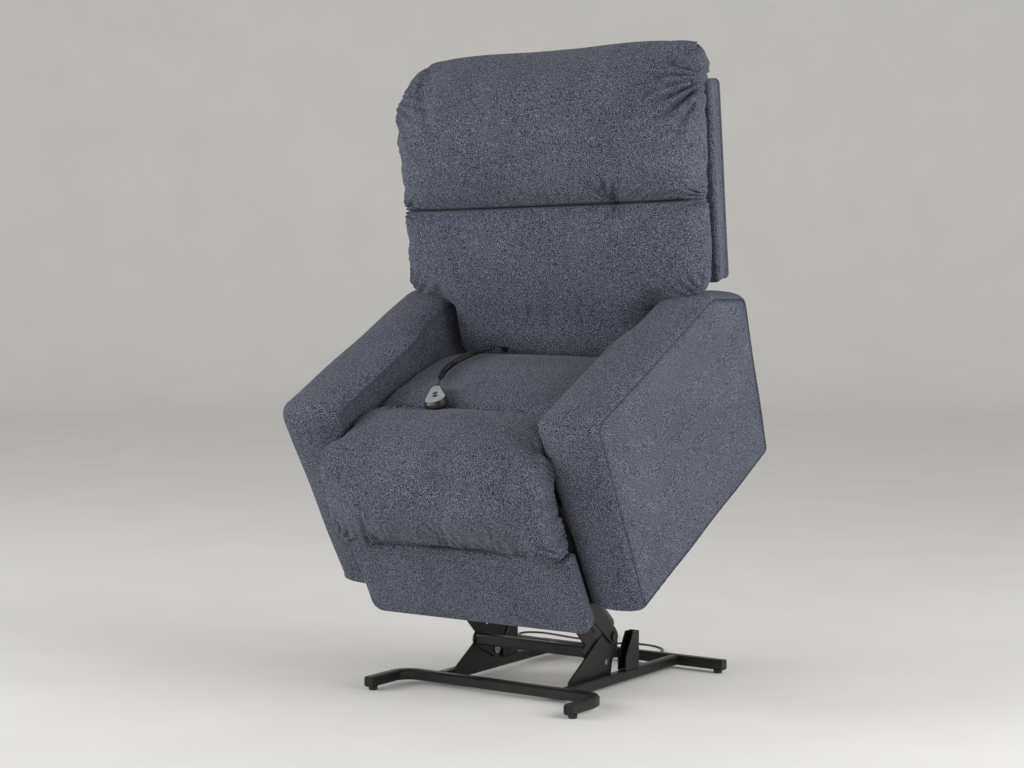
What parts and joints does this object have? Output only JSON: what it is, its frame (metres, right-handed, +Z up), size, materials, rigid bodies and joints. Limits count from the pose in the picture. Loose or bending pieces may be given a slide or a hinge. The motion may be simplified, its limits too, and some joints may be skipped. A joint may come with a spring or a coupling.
{
  "type": "lift recliner chair",
  "caption": "Upholstered powered chair that rises and tips forward on a steel base to help its user stand, with a reclining back, a swing-out footrest and a corded handset.",
  "frame": {"origin": "on the floor under the middle of the bounding box, cords aside", "axes": "+Z up, -Y to the front of the chair, X across it"},
  "size_m": [0.8746, 1.1429, 1.5342],
  "materials": {
    "upholstery": "slate blue-grey heathered weave",
    "powder_coat": "satin brown-black powder coat",
    "zinc": "zinc plated",
    "bright_steel": "ground",
    "plywood": "bare plywood",
    "black_plastic": "fine matt grain",
    "silver_plastic": "silver",
    "rubber": "black, soft"
  },
  "bodies": {
    "base": {"front_tube": "powder_coat", "rear_tube": "powder_coat", "side_tube_left": "powder_coat", "side_tube_right": "powder_coat", "front_glide_left": "rubber", "front_glide_right": "rubber", "rear_glide_left": "rubber", "rear_glide_right": "rubber", "riser_plate_left": "powder_coat", "riser_plate_right": "powder_coat", "rear_post_left": "powder_coat", "rear_post_right": "powder_coat", "lower_pivot_pin_left": "zinc", "lower_pivot_pin_right": "zinc", "actuator_bracket": "powder_coat", "lead_inlet": "rubber", "power_lead": "rubber", "lead_coil": "rubber", "plug": "black_plastic"},
    "lower_links": {"lower_link_left": "powder_coat", "lower_link_right": "powder_coat", "lower_link_pin_left": "zinc", "lower_link_pin_right": "zinc", "torque_tube": "powder_coat"},
    "upper_links": {"upper_link_left": "powder_coat", "upper_link_right": "powder_coat", "upper_link_pin_left": "zinc", "upper_link_pin_right": "zinc"},
    "actuator": {"actuator_housing": "black_plastic", "actuator_tube": "black_plastic"},
    "rod": {"actuator_rod": "bright_steel"},
    "chair": {"carrier_rail_left": "powder_coat", "carrier_rail_right": "powder_coat", "arm_left": "upholstery", "arm_right": "upholstery", "footrest_bracket_left": "powder_coat", "footrest_bracket_right": "powder_coat", "back_bracket_left": "powder_coat", "back_bracket_right": "powder_coat", "drive_bar": "zinc", "front_board": "plywood", "rear_board": "plywood", "seat_deck": "plywood", "seat_cushion": "upholstery", "handset_case": "black_plastic", "handset_face": "silver_plastic", "cord_grommet": "rubber", "handset_cord": "rubber"},
    "footrest": {"leg_pad": "upholstery", "footrest_board": "upholstery", "footrest_arm_left": "powder_coat", "footrest_arm_right": "powder_coat"},
    "backrest": {"back_shell": "upholstery", "back_cushion": "upholstery", "back_arm_left": "powder_coat", "back_arm_right": "powder_coat"},
    "up_button": {"button_up": "black_plastic"},
    "down_button": {"button_down": "black_plastic"}
  },
  "joints": [
    {"name": "lift_links", "type": "hinge", "parent": "base", "child": "lower_links", "pos_m": [0, 0.08881, 0.062], "axis": [1, 0, 0], "range_deg": [-0.02, 39.44]},
    {"name": "chair_tilt", "type": "hinge", "parent": "lower_links", "child": "chair", "pos_m": [0, -0.14829, 0.28275], "axis": [1, 0, 0], "range_deg": [-67.42, 0]},
    {"name": "upper_links", "type": "hinge", "parent": "base", "child": "upper_links", "pos_m": [0, 0.11381, 0.12], "axis": [1, 0, 0], "range_deg": [-0.02, 39.99]},
    {"name": "actuator_swing", "type": "hinge", "parent": "base", "child": "actuator", "pos_m": [0, 0.33381, 0.045], "axis": [1, 0, 0], "range_deg": [-0.02, 28.99]},
    {"name": "actuator_stroke", "type": "slide", "parent": "actuator", "child": "rod", "axis": [0, -0.7539, 0.657], "range_m": [-0.07587, 0.0001]},
    {"name": "footrest_swing", "type": "hinge", "parent": "chair", "child": "footrest", "pos_m": [0, -0.39817, 0.56101], "axis": [1, 0, 0], "range_deg": [-90, 0]},
    {"name": "back_recline", "type": "hinge", "parent": "chair", "child": "backrest", "pos_m": [0, 0.19056, 0.72115], "axis": [1, 0, 0], "range_deg": [-35, 0]},
    {"name": "press_up", "type": "slide", "parent": "chair", "child": "up_button", "axis": [0.0681, 0.3768, -0.9238], "range_m": [0, 0.0015], "stiffness_N_per_m": 400, "springref_m": -0.002},
    {"name": "press_down", "type": "slide", "parent": "chair", "child": "down_button", "axis": [0.0681, 0.3768, -0.9238], "range_m": [0, 0.0015], "stiffness_N_per_m": 400, "springref_m": -0.002}
  ],
  "couplings": [
    {"joint": "lift_links", "follows": "chair_tilt", "ratio": -0.58467},
    {"joint": "upper_links", "follows": "chair_tilt", "ratio": -0.59288},
    {"joint": "actuator_swing", "follows": "chair_tilt", "ratio": -0.42978},
    {"joint": "actuator_stroke", "follows": "chair_tilt", "m_per_rad": 0.064399}
  ]
}
